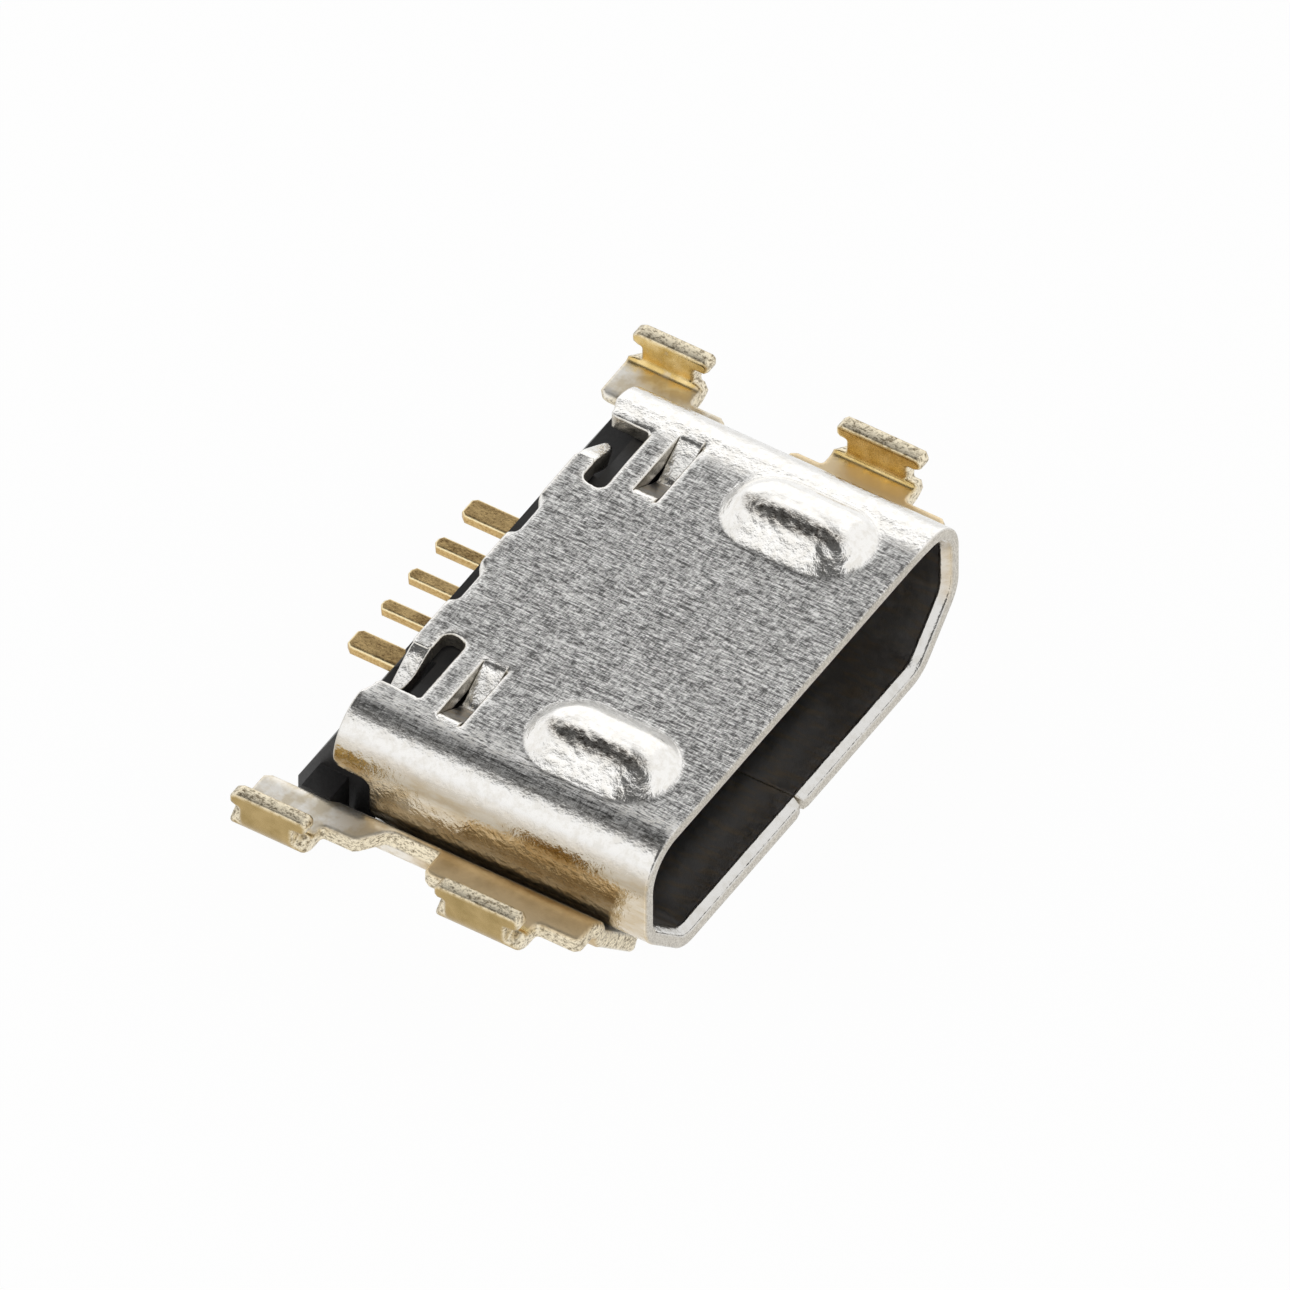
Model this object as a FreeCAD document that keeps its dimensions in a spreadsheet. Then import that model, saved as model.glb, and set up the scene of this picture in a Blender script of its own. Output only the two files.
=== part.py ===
"""Mid-mount five-contact charging port: folded shell, leg frame, moulded insulator and contact strips.

Local frame of every piece: X across the port, Y back from the mouth, Z up from the underside of the
leg frame. The placement then puts the origin under the middle of the whole part.
"""
import FreeCAD, Part
import Sketcher
import os
import re

SIZES = {
    # folded shell
    "shell_width": 7.5,
    "shell_height": 2.35,
    "shell_depth": 4.65,
    "shell_sheet": 0.25,
    "top_bend": 0.7,
    "low_bend": 0.6,
    "bevel_leg": 0.88,
    "lead_depth": 0.12,
    "lead_step": 0.04,
    "seam_gap": 0.03,
    "mouth_notch": 0.1,
    # cut-away lower rear corner of the side walls, set in from the shell's rear edge
    "wall_cut_level": 0.8,
    "wall_setback": 0.45,
    "bottom_setback": 0.65,
    "wall_cut_round": 0.14,
    # raised latch bumps
    "bump_spacing": 4.7,
    "bump_width": 1.4,
    "bump_length": 2.17,
    "bump_front": 0.45,
    "bump_rise": 0.28,
    "bump_side_slope": 0.28,
    "bump_front_slope": 0.3,
    "bump_rear_slope": 0.55,
    "bump_edge_round": 0.55,
    # lanced retention bridges
    "lance_start": 1.78,
    "lance_length": 1.14,
    "lance_setback": 1.3,
    "lance_width": 0.34,
    "lance_dip": 0.34,
    "lance_play": 0.01,
    # rear slots with the bent tabs behind them
    "slot_start": 1.6,
    "slot_length": 1.17,
    "slot_setback": 0.6,
    "slot_width": 0.32,
    "tab_hinge": 2.0,
    "tab_length": 0.62,
    "tab_drop": 0.4,
    "tab_taper": 0.2,
    # shallow notches in the top's rear edge
    "rear_notch_start": 0.42,
    "rear_notch_length": 0.6,
    "rear_notch_depth": 0.11,
    # leg frame
    "frame_sheet": 0.25,
    "nest_gap": 0.05,
    "flange_rise": 0.3,
    "frame_front": 0.6,
    "floor_front": 1.05,
    "floor_setback": 0.05,
    "front_toe": 0.08,
    "flange_reach": 0.68,
    "flange_corner": 0.15,
    "flange_gap": 0.72,
    "rear_flange_setback": 0.97,
    "rear_flange_overhang": 0.79,
    "frame_bend": 0.05,
    "leg_bend": 0.1,
    "leg_reach": 1.2,
    "leg_rise": 0.47,
    "leg_width": 1.24,
    "leg_head": 0.22,
    "leg_neck_cut": 0.15,
    "leg_neck_start": 0.02,
    "front_leg": 1.84,
    "rear_leg_overhang": 0.33,
    # moulded insulator
    "fit_gap": 0.02,
    "block_seat": 2.05,
    "block_overhang": 0.78,
    "slope_overhang": 0.13,
    "slope_end_level": 1.6,
    "rear_side_start": 0.38,
    "rear_side_drop": 0.28,
    "foot_reach": 0.18,
    "foot_length": 0.44,
    "foot_below_board": 0.03,
    "foot_depth": 0.68,
    "tongue_front": 0.85,
    "tongue_width": 3.9,
    "tongue_thick": 0.56,
    "tongue_nose": 0.12,
    "recess_play": 0.06,
    # contact strips
    "contact_count": 5,
    "contact_pitch": 0.65,
    "contact_thick": 0.15,
    "blade_width": 0.32,
    "blade_front": 0.95,
    "blade_seat": 0.8,
    "blade_proud": 0.02,
    "tail_width": 0.22,
    "outer_tail_extra": 0.14,
    "tail_overhang": 1.29,
}

# Expressions that several pieces share, all in the local frame.
HALF_WIDTH = "shell_width / 2"
SHELL_LOW = "(frame_sheet + nest_gap)"
SHELL_TOP = "(frame_sheet + nest_gap + shell_height)"
BEVEL_TOP = "(frame_sheet + nest_gap + bevel_leg)"
BOARD_LEVEL = "(frame_sheet + nest_gap + bevel_leg + flange_rise)"
CORNER_SHIFT = "(sqrt(2) - 1)"
FRAME_INNER = "(shell_width / 2 + nest_gap)"
FRAME_OUTER = "(shell_width / 2 + nest_gap + frame_sheet)"
FLANGE_EDGE = "(shell_width / 2 + flange_reach)"
LEG_OUTER = "(shell_width / 2 + leg_reach)"
LEG_INNER = "(shell_width / 2 + leg_reach - frame_sheet)"
LANCE_FRONT = "(shell_depth - lance_setback)"
LANCE_REAR = "(shell_depth - lance_setback + lance_width)"
SLOT_FRONT = "(shell_depth - slot_setback)"
SLOT_REAR = "(shell_depth - slot_setback + slot_width)"
REAR_FLANGE_FRONT = "(shell_depth - rear_flange_setback)"
FRONT_FLANGE_END = "(shell_depth - rear_flange_setback - flange_gap)"
REAR_FLANGE_END = "(shell_depth + rear_flange_overhang)"
FRONT_LEG = "front_leg"
REAR_LEG = "(shell_depth + rear_leg_overhang)"
BLOCK_FRONT = "(shell_depth - block_seat)"
BLOCK_END = "(shell_depth + block_overhang)"
BLADE_END = "(shell_depth - block_seat + blade_seat)"
TAIL_END = "(shell_depth + tail_overhang)"
CUT_MARGIN = 0.5


def new_document():
    """Document with the sheet of driving dimensions."""
    document = FreeCAD.newDocument("ChargingPort")
    sheet = document.addObject("Spreadsheet::Sheet", "Sizes")
    for row, (alias, value) in enumerate(SIZES.items(), start=1):
        sheet.set(f"A{row}", alias)
        sheet.set(f"B{row}", str(value))
        sheet.setAlias(f"B{row}", alias)
    document.recompute()
    return document


def bound(text):
    """Expression text with every size name pointed at the sheet."""
    return re.sub(r"[a-z_]+", lambda word: f"Sizes.{word[0]}" if word[0] in SIZES else word[0], text)


def new_body(document, label):
    """Empty body whose placement centres the whole part on the origin."""
    body = document.addObject("PartDesign::Body", label)
    body.Label = label
    body.setExpression("Placement.Base.y", bound(f"-{TAIL_END} / 2"))
    return body


def origin_plane(body, role):
    """One of the body's own origin planes."""
    return next(plane for plane in body.Origin.OriginFeatures if plane.Role == role)


def outline(body, name, role, corner_lists, offset="0"):
    """Sketch of closed straight-sided outlines, each corner held by two bound distances.

    offset moves the sketch along the plane's positive axis of X, Y or Z.
    """
    sketch = body.newObject("Sketcher::SketchObject", name)
    sketch.AttachmentSupport = [(origin_plane(body, role), "")]
    sketch.MapMode = "FlatFace"
    toward = "-" if role == "XZ_Plane" else ""
    sketch.setExpression("AttachmentOffset.Base.z", bound(f"{toward}({offset})"))
    for corners in corner_lists:
        add_loop(sketch, corners)
    return sketch


def add_loop(sketch, corners):
    """Closed loop of lines through corners given as pairs of expressions."""
    first = sketch.GeometryCount
    count = len(corners)
    starts = [FreeCAD.Vector(index + 1, (index * index) % 7 + 1, 0) for index in range(count)]
    for index in range(count):
        sketch.addGeometry(Part.LineSegment(starts[index], starts[(index + 1) % count]), False)
    for index, (across, up) in enumerate(corners):
        line = first + index
        following = first + (index + 1) % count
        sketch.addConstraint(Sketcher.Constraint("Coincident", line, 2, following, 1))
        for kind, text in (("DistanceX", across), ("DistanceY", up)):
            datum = sketch.addConstraint(Sketcher.Constraint(kind, -1, 1, line, 1, 1.0))
            sketch.setExpression(f"Constraints[{datum}]", bound(text))


def obround(body, name, lift, half_width, front, rear, middle):
    """Sketch of a slot shape along Y: two half circles joined by two straight sides."""
    sketch = body.newObject("Sketcher::SketchObject", name)
    sketch.AttachmentSupport = [(origin_plane(body, "XY_Plane"), "")]
    sketch.MapMode = "FlatFace"
    sketch.setExpression("AttachmentOffset.Base.z", bound(lift))
    radius, low, high, centre = 0.4, 1.2, 2.4, 2.3
    up = FreeCAD.Vector(0, 0, 1)
    quarter = 1.5707963267948966
    low_circle = Part.Circle(FreeCAD.Vector(centre, low, 0), up, radius)
    high_circle = Part.Circle(FreeCAD.Vector(centre, high, 0), up, radius)
    sketch.addGeometry(Part.ArcOfCircle(low_circle, -2 * quarter, 0), False)
    right_low, right_high = FreeCAD.Vector(centre + radius, low, 0), FreeCAD.Vector(centre + radius, high, 0)
    left_high, left_low = FreeCAD.Vector(centre - radius, high, 0), FreeCAD.Vector(centre - radius, low, 0)
    sketch.addGeometry(Part.LineSegment(right_low, right_high), False)
    sketch.addGeometry(Part.ArcOfCircle(high_circle, 0, 2 * quarter), False)
    sketch.addGeometry(Part.LineSegment(left_high, left_low), False)
    sketch.addConstraint(Sketcher.Constraint("Tangent", 0, 2, 1, 1))
    sketch.addConstraint(Sketcher.Constraint("Tangent", 1, 2, 2, 1))
    sketch.addConstraint(Sketcher.Constraint("Tangent", 2, 2, 3, 1))
    sketch.addConstraint(Sketcher.Constraint("Tangent", 3, 2, 0, 1))
    sketch.addConstraint(Sketcher.Constraint("Vertical", 1))
    sketch.addConstraint(Sketcher.Constraint("Vertical", 3))
    held = (
        (Sketcher.Constraint("DistanceX", -1, 1, 0, 3, centre), middle),
        (Sketcher.Constraint("DistanceY", -1, 1, 0, 3, low), f"({front}) + ({half_width})"),
        (Sketcher.Constraint("DistanceY", -1, 1, 2, 3, high), f"({rear}) - ({half_width})"),
        (Sketcher.Constraint("Radius", 0, radius), half_width),
    )
    for constraint, text in held:
        datum = sketch.addConstraint(constraint)
        sketch.setExpression(f"Constraints[{datum}]", bound(text))
    return sketch


def finish(body, feature):
    """Make a feature the body's tip and recompute."""
    body.Tip = feature
    body.Document.recompute()
    return feature


def pad(body, name, sketch, length, reverse=False):
    """Material along the sketch's normal, or against it."""
    feature = body.newObject("PartDesign::Pad", name)
    feature.Profile = sketch
    feature.setExpression("Length", bound(length))
    feature.Reversed = reverse
    return finish(body, feature)


def pocket(body, name, sketch, length=None, reverse=False):
    """Cut to a length, or through everything both ways; it has to take material away."""
    before = body.Shape.Volume
    feature = body.newObject("PartDesign::Pocket", name)
    feature.Profile = sketch
    feature.Reversed = reverse
    if length is None:
        feature.Type = "ThroughAll"
        feature.Midplane = True
    else:
        feature.setExpression("Length", bound(length))
    finish(body, feature)
    if body.Shape.Volume >= before:
        raise ValueError(f"{name} takes nothing away")
    return feature


def loft(body, name, kind, sections):
    """Additive or subtractive loft through two sections."""
    feature = body.newObject(f"PartDesign::{kind}", name)
    feature.Profile = sections[0]
    feature.Sections = sections[1:]
    feature.Ruled = True
    return finish(body, feature)


def mirror(body, name, features):
    """The same features on the other side of the middle plane."""
    feature = body.newObject("PartDesign::Mirrored", name)
    feature.Originals = features
    feature.MirrorPlane = (origin_plane(body, "YZ_Plane"), [""])
    return finish(body, feature)


def edges_where(shape, test):
    """Names of the edges whose middle point and direction pass a test."""
    names = []
    for index, edge in enumerate(shape.Edges, start=1):
        middle = edge.valueAt((edge.FirstParameter + edge.LastParameter) / 2)
        run = edge.valueAt(edge.LastParameter) - edge.valueAt(edge.FirstParameter)
        if test(middle, run):
            names.append(f"Edge{index}")
    return names


def runs_back(run):
    """True for an edge that runs along Y."""
    return abs(run.x) < 1e-6 and abs(run.z) < 1e-6 and abs(run.y) > 1e-3


def at_corner(body, across, up):
    """Test for the edges along Y at a distance either side of the middle and at a level."""
    side, level = (float(body.evalExpression(bound(text))) for text in (across, up))
    return lambda at, run: runs_back(run) and abs(abs(at.x) - side) < 1e-4 and abs(at.z - level) < 1e-4


def round_edges(body, name, test, radius):
    """Fillet of a bound radius on the edges that pass a test."""
    base = body.Tip
    feature = body.newObject("PartDesign::Fillet", name)
    feature.Base = (base, edges_where(base.Shape, test))
    feature.setExpression("Radius", bound(radius))
    return finish(body, feature)


def section_corners(inset):
    """Port section moved inwards by an inset: flat top, two walls, two 45 degree bevels, flat bottom."""
    wall = f"{HALF_WIDTH} - ({inset})"
    foot = f"{HALF_WIDTH} - bevel_leg - ({inset}) * {CORNER_SHIFT}"
    top = f"{SHELL_TOP} - ({inset})"
    low = f"{SHELL_LOW} + ({inset})"
    knee = f"{BEVEL_TOP} + ({inset}) * {CORNER_SHIFT}"
    right = [(foot, low), (wall, knee), (wall, top)]
    left = [(f"-({across})", up) for across, up in reversed(right)]
    return right + left


def box_corners(left, right, low, high):
    """Rectangle from four expressions."""
    return [(left, low), (right, low), (right, high), (left, high)]


def build_shell(document):
    """Folded sheet shell with bumps, lances, slots, tabs, seam and the mouth's lead-in."""
    body = new_body(document, "shell")
    pad(body, "ShellSolid", outline(body, "ShellSection", "XZ_Plane", [section_corners("0")]),
        "shell_depth", reverse=True)
    round_bends(body, "ShellBend", "0")
    pocket(body, "ShellBore", outline(body, "BoreSection", "XZ_Plane", [section_corners("shell_sheet")]))
    round_bends(body, "BoreBend", "shell_sheet")
    cut_lead_in(body)
    raise_bumps(body)
    cut_wall_rear(body)
    cut_openings(body)
    add_lances(body)
    add_tabs(body)
    cut_seam(body)
    return body


def round_bends(body, name, inset):
    """Top and lower bends of the port section moved inwards by an inset."""
    foot, knee, top = section_corners(inset)[:3]
    round_edges(body, f"{name}Top", at_corner(body, *top), f"top_bend - ({inset})")
    round_edges(body, f"{name}Knee", at_corner(body, *knee), f"low_bend - ({inset})")
    round_edges(body, f"{name}Foot", at_corner(body, *foot), f"low_bend - ({inset})")


def cut_lead_in(body):
    """Shallow flare round the inside of the mouth."""
    front = outline(body, "LeadFront", "XZ_Plane", [section_corners("shell_sheet - lead_step")])
    back = outline(body, "LeadBack", "XZ_Plane", [section_corners("shell_sheet + lead_step / 8")], "lead_depth")
    loft(body, "LeadIn", "SubtractiveLoft", [front, back])


def raise_bumps(body):
    """Two hollow obround bumps pressed up out of the top, gentler at the rear."""
    middle = "bump_spacing / 2"
    rear = "bump_front + bump_length"
    foot = obround(body, "BumpFoot", SHELL_TOP, "bump_width / 2",
                   "bump_front", rear, middle)
    crown = obround(body, "BumpCrown", f"{SHELL_TOP} + bump_rise", "bump_width / 2 - bump_side_slope",
                    "bump_front + bump_front_slope", f"{rear} - bump_rear_slope", middle)
    raised = loft(body, "BumpRaised", "AdditiveLoft", [foot, crown])
    mirror(body, "BumpRaisedPair", [raised])
    inner = "bump_width / 2 - shell_sheet / 2"
    hollow_foot = obround(body, "HollowFoot", f"{SHELL_TOP} - shell_sheet * 1.2", inner,
                          "bump_front + shell_sheet / 2", f"{rear} - shell_sheet / 2", middle)
    hollow_crown = obround(body, "HollowCrown", f"{SHELL_TOP} + bump_rise - shell_sheet",
                           "bump_width / 2 - bump_side_slope - shell_sheet / 2",
                           "bump_front + bump_front_slope + shell_sheet / 2",
                           f"{rear} - bump_rear_slope - shell_sheet / 2", middle)
    hollow = loft(body, "BumpHollow", "SubtractiveLoft", [hollow_foot, hollow_crown])
    mirror(body, "BumpHollowPair", [hollow])
    crown_level = body.Shape.BoundBox.ZMax
    round_edges(body, "BumpCrownRound", lambda at, run: abs(at.z - crown_level) < 1e-4,
                "min(bump_edge_round; 1.4 * (bump_width / 2 - bump_side_slope); 2 * bump_rise)")


def cut_wall_rear(body):
    """Lower rear corner of the walls, bevels and bottom cut away in an S."""
    level = f"{SHELL_TOP} - wall_cut_level"
    bottom_end = "shell_depth - bottom_setback"
    wall_end = "shell_depth - wall_setback"
    corners = [(bottom_end, f"-{CUT_MARGIN}"),
               (bottom_end, f"{BEVEL_TOP} - wall_cut_round"),
               (wall_end, f"{BEVEL_TOP} + wall_cut_round"),
               (wall_end, f"{level} - wall_cut_round"),
               (f"{wall_end} + wall_cut_round", level),
               (f"shell_depth + {CUT_MARGIN}", level),
               (f"shell_depth + {CUT_MARGIN}", f"-{CUT_MARGIN}")]
    pocket(body, "WallRearCut", outline(body, "WallRearOutline", "YZ_Plane", [corners]))


def cut_openings(body):
    """Lance windows, rear slots and rear edge notches in the top."""
    lance_end = "lance_start + lance_length"
    slot_end = "slot_start + slot_length"
    notch_end = "rear_notch_start + rear_notch_length"
    behind = f"shell_depth + {CUT_MARGIN}"
    loops = [box_corners("lance_start", lance_end, LANCE_FRONT, LANCE_REAR),
             [("slot_start + slot_width / 3", SLOT_FRONT), (slot_end, SLOT_FRONT),
              (slot_end, behind), ("tab_hinge", behind), ("tab_hinge", SLOT_REAR),
              ("slot_start + slot_width / 3", SLOT_REAR),
              ("slot_start", f"{SLOT_REAR} - slot_width / 3"),
              ("slot_start", f"{SLOT_FRONT} + slot_width / 3")],
             [("rear_notch_start", behind), ("rear_notch_start", "shell_depth"),
              ("rear_notch_start + rear_notch_depth", "shell_depth - rear_notch_depth"),
              (f"{notch_end} - rear_notch_depth", "shell_depth - rear_notch_depth"),
              (notch_end, "shell_depth"), (notch_end, behind)]]
    sketch = outline(body, "TopOpenings", "XY_Plane", loops, SHELL_TOP)
    cut = pocket(body, "TopOpeningsCut", sketch, "shell_sheet + top_bend / 4")
    mirror(body, "TopOpeningsPair", [cut])


def add_lances(body):
    """Strip of each window pushed down to a V that grips the moulding."""
    start = "lance_start - shell_sheet / 4"
    end = "lance_start + lance_length + shell_sheet / 4"
    middle = "lance_start + lance_length / 2"
    under = f"{SHELL_TOP} - shell_sheet"
    corners = [(start, under), (middle, f"{under} - lance_dip"), (end, under), (end, SHELL_TOP),
               (middle, f"{SHELL_TOP} - lance_dip"), (start, SHELL_TOP)]
    sketch = outline(body, "LanceSection", "XZ_Plane", [corners], f"{LANCE_FRONT} + lance_play")
    strip = pad(body, "Lance", sketch, "lance_width - 2 * lance_play", reverse=True)
    mirror(body, "LancePair", [strip])


def add_tabs(body):
    """Tab behind each rear slot, hinged at its inner end and bent down outwards."""
    root = "tab_hinge - shell_sheet / 4"
    tip = "tab_hinge + tab_length"
    corners = [(root, f"{SHELL_TOP} - shell_sheet"), ("tab_hinge", f"{SHELL_TOP} - shell_sheet"),
               (tip, f"{SHELL_TOP} - shell_sheet - tab_drop"), (tip, f"{SHELL_TOP} - tab_drop"),
               ("tab_hinge", SHELL_TOP), (root, SHELL_TOP)]
    sketch = outline(body, "TabSection", "XZ_Plane", [corners], SLOT_REAR)
    tab = pad(body, "Tab", sketch, f"shell_depth - {SLOT_REAR}", reverse=True)
    corner = [("tab_hinge + tab_length / 5", f"{SLOT_REAR} - tab_length / 8"),
              (f"{tip} + slot_width / 8", f"{SLOT_REAR} - tab_length / 8"),
              (f"{tip} + slot_width / 8", f"{SLOT_REAR} + tab_taper")]
    taper = pocket(body, "TabTaper", outline(body, "TabTaperOutline", "XY_Plane", [corner], SHELL_TOP),
                   "shell_sheet + tab_drop")
    mirror(body, "TabPair", [tab, taper])


def cut_seam(body):
    """Joint line along the middle of the bottom, with its small notch at the mouth."""
    front = f"-{CUT_MARGIN}"
    loop = [("-mouth_notch / 2", front), ("mouth_notch / 2", front), ("mouth_notch / 2", "lead_depth"),
            ("seam_gap / 2", "lead_depth + mouth_notch / 2"), ("seam_gap / 2", f"shell_depth + {CUT_MARGIN}"),
            ("-seam_gap / 2", f"shell_depth + {CUT_MARGIN}"),
            ("-seam_gap / 2", "lead_depth + mouth_notch / 2"), ("-mouth_notch / 2", "lead_depth")]
    sketch = outline(body, "SeamOutline", "XY_Plane", [loop], f"{SHELL_LOW} - nest_gap")
    pocket(body, "Seam", sketch, "nest_gap + 1.5 * shell_sheet", reverse=True)


def frame_section():
    """Closed section of the leg frame: floor, bevels, short walls, flanges and upturned legs."""
    under = f"{BOARD_LEVEL} - frame_sheet"
    right = [(f"{HALF_WIDTH} - bevel_leg + (nest_gap + frame_sheet) * {CORNER_SHIFT}", "0"),
             (FRAME_OUTER, f"{BEVEL_TOP} - (nest_gap + frame_sheet) * {CORNER_SHIFT}"),
             (FRAME_OUTER, under),
             (LEG_OUTER, under),
             (LEG_OUTER, f"{BOARD_LEVEL} + leg_rise"),
             (LEG_INNER, f"{BOARD_LEVEL} + leg_rise"),
             (LEG_INNER, BOARD_LEVEL),
             (FRAME_INNER, BOARD_LEVEL),
             (FRAME_INNER, f"{BEVEL_TOP} - nest_gap * {CORNER_SHIFT}"),
             (f"{HALF_WIDTH} - bevel_leg + nest_gap * {CORNER_SHIFT}", "frame_sheet")]
    left = [(f"-({across})", up) for across, up in reversed(right)]
    return right + left


def leg_span(centre):
    """Front and rear end of a leg."""
    return f"({centre} - leg_width / 2)", f"({centre} + leg_width / 2)"


def build_leg_frame(document):
    """Stamped frame round the shell's lower half, with two flanges and four upturned legs."""
    body = new_body(document, "leg_frame")
    rear_tip = leg_span(REAR_LEG)[1]
    pad(body, "FrameSolid", outline(body, "FrameSection", "XZ_Plane", [frame_section()], "frame_front"),
        f"{rear_tip} - frame_front", reverse=True)
    round_frame_bends(body)
    trim_flanges(body)
    cut_floor_ends(body)
    cut_necks(body)
    return body


def round_frame_bends(body):
    """Bends of the folded sheet: tight inside, one sheet larger outside."""
    under = f"{BOARD_LEVEL} - frame_sheet"
    wall_left = f"{BOARD_LEVEL} - {BEVEL_TOP} + nest_gap * {CORNER_SHIFT}"
    round_edges(body, "FlangeInnerBend", at_corner(body, FRAME_OUTER, under), "frame_bend")
    round_edges(body, "FlangeOuterBend", at_corner(body, FRAME_INNER, BOARD_LEVEL),
                f"min(frame_bend + frame_sheet; 0.9 * ({wall_left}))")
    round_edges(body, "LegInnerBend", at_corner(body, LEG_INNER, BOARD_LEVEL), "leg_bend")
    round_edges(body, "LegOuterBend", at_corner(body, LEG_OUTER, under), "leg_bend + frame_sheet")


def trim_flanges(body):
    """Plan outline of one side's flanges and legs, then the other side."""
    far = f"({LEG_OUTER} + {CUT_MARGIN})"
    front_start, front_end = leg_span(FRONT_LEG)
    rear_start, rear_end = leg_span(REAR_LEG)
    before = f"frame_front - {CUT_MARGIN}"
    ahead = [(far, before), (far, front_start), (FLANGE_EDGE, front_start),
             (FLANGE_EDGE, "frame_front + flange_corner"),
             (f"{FLANGE_EDGE} - flange_corner", "frame_front"), (f"{FLANGE_EDGE} - flange_corner", before)]
    between = box_corners(FLANGE_EDGE, far, front_end, rear_start)
    behind = box_corners(f"{FRAME_INNER} - {CUT_MARGIN}", FLANGE_EDGE, REAR_FLANGE_END,
                         f"{rear_end} + {CUT_MARGIN}")
    cut = pocket(body, "FlangeTrim", outline(body, "FlangeOutline", "XY_Plane", [ahead, between, behind]))
    gap = [(FRAME_OUTER, FRONT_FLANGE_END), (FLANGE_EDGE, FRONT_FLANGE_END),
           (FLANGE_EDGE, f"{REAR_FLANGE_FRONT} + 2 * flange_corner"),
           (f"{FLANGE_EDGE} - flange_corner", f"{REAR_FLANGE_FRONT} + flange_corner"),
           (FRAME_OUTER, REAR_FLANGE_FRONT)]
    parting = pocket(body, "FlangeGap", outline(body, "FlangeGapOutline", "XY_Plane", [gap]))
    mirror(body, "FlangeTrimPair", [cut, parting])


def cut_floor_ends(body):
    """Recessed front edge of the floor, and the open stretch between the rear flanges."""
    foot = f"({HALF_WIDTH} - bevel_leg + front_toe)"
    rear_end = leg_span(REAR_LEG)[1]
    inner_edge = f"({FRAME_OUTER} + frame_bend / 2)"
    front = box_corners(f"-{foot}", foot, f"frame_front - {CUT_MARGIN}", "floor_front")
    rear = box_corners(f"-{inner_edge}", inner_edge, "shell_depth - floor_setback",
                       f"{rear_end} + {CUT_MARGIN}")
    pocket(body, "FloorEnds", outline(body, "FloorEndOutline", "XY_Plane", [front, rear]))


def cut_necks(body):
    """Waist under each leg's head."""
    low = f"({BOARD_LEVEL} + leg_neck_start)"
    high = f"({BOARD_LEVEL} + leg_rise - leg_head)"
    loops = []
    for centre in (FRONT_LEG, REAR_LEG):
        start, end = leg_span(centre)
        for edge, out, back in ((start, "-", "+"), (end, "+", "-")):
            beyond = f"{edge} {out} leg_neck_cut"
            waist = f"{edge} {back} leg_neck_cut"
            loops.append([(beyond, low), (waist, f"{low} + leg_neck_cut / 2"), (waist, high), (beyond, high)])
    sketch = outline(body, "NeckOutline", "YZ_Plane", loops, FRAME_OUTER)
    cut = pocket(body, "Necks", sketch, f"{LEG_OUTER} - {FRAME_OUTER} + frame_sheet", reverse=True)
    mirror(body, "NecksPair", [cut])


def contact_corners(number):
    """Plan of one strip: wide blade, then the tail, widened outwards on the two end strips."""
    last = SIZES["contact_count"] - 1
    middle = f"({number} - {last} / 2) * contact_pitch"
    blade_left = f"{middle} - blade_width / 2"
    blade_right = f"{middle} + blade_width / 2"
    tail_left = f"{middle} - tail_width / 2" + (" - outer_tail_extra" if number == 0 else "")
    tail_right = f"{middle} + tail_width / 2" + (" + outer_tail_extra" if number == last else "")
    return [(blade_left, "blade_front"), (blade_right, "blade_front"), (blade_right, BLADE_END),
            (tail_right, BLADE_END), (tail_right, TAIL_END), (tail_left, TAIL_END),
            (tail_left, BLADE_END), (blade_left, BLADE_END)]


def build_insulator(document):
    """Black moulding: block behind the tongue, sloped rear, room for lances, tabs and contacts."""
    body = new_body(document, "insulator")
    section = section_corners("shell_sheet + fit_gap")
    pad(body, "BlockSolid", outline(body, "BlockSection", "XZ_Plane", [section], BLOCK_FRONT),
        f"{BLOCK_END} - {BLOCK_FRONT}", reverse=True)
    round_bends(body, "BlockRound", "shell_sheet + fit_gap")
    add_rear_sides(body)
    slope_start = "shell_depth + slope_overhang"
    beyond = f"{BLOCK_END} + {CUT_MARGIN}"
    slope = [(slope_start, f"{SHELL_TOP} + {CUT_MARGIN}"), (slope_start, f"{SHELL_TOP} - 1.5 * shell_sheet"),
             (BLOCK_END, f"{SHELL_TOP} - slope_end_level"), (beyond, f"{SHELL_TOP} - slope_end_level"),
             (beyond, f"{SHELL_TOP} + {CUT_MARGIN}")]
    pocket(body, "RearSlope", outline(body, "RearSlopeOutline", "YZ_Plane", [slope]))
    add_tongue(body)
    cut_recesses(body)
    loops = [contact_corners(number) for number in range(SIZES["contact_count"])]
    pocket(body, "ContactChannels", outline(body, "ChannelOutline", "XY_Plane", loops, BOARD_LEVEL),
           "contact_thick")
    return body


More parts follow.
